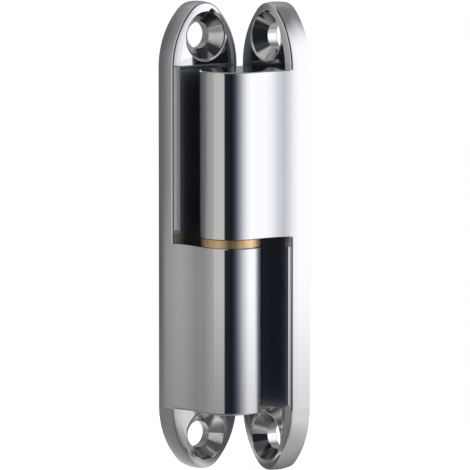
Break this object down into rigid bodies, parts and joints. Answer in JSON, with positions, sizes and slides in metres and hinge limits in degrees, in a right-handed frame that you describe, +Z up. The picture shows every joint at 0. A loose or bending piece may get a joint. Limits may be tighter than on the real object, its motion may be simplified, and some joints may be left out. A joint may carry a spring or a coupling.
{
  "type": "lift-off hinge",
  "caption": "Chrome-plated lift-off hinge: thick long-oval leaves with countersunk screw holes and round barrel lugs, turning on a pressed-in pin over a brass washer.",
  "frame": {"origin": "middle of the frame leaf's back face, between its two screw holes", "axes": "+Y out of the frame leaf's back face, into the frame; +Z up along the pin; +X towards the door leaf, whose back face looks along +X"},
  "size_m": [0.0272, 0.0272, 0.117],
  "materials": {
    "chrome_plate": "polished",
    "pin_steel": "satin",
    "washer_brass": "satin"
  },
  "bodies": {
    "frame_side": {"frame_leaf": "chrome_plate", "hinge_pin": "pin_steel"},
    "washer": {"bearing_washer": "washer_brass"},
    "door_side": {"door_leaf": "chrome_plate"}
  },
  "joints": [
    {"name": "swing", "type": "hinge", "parent": "frame_side", "child": "washer", "pos_m": [-0.0011, -0.018, 0], "axis": [0, 0, -1], "range_deg": [-2, 195]},
    {"name": "lift_off", "type": "slide", "parent": "washer", "child": "door_side", "axis": [0, 0, 1], "range_m": [0, 0.035]}
  ]
}
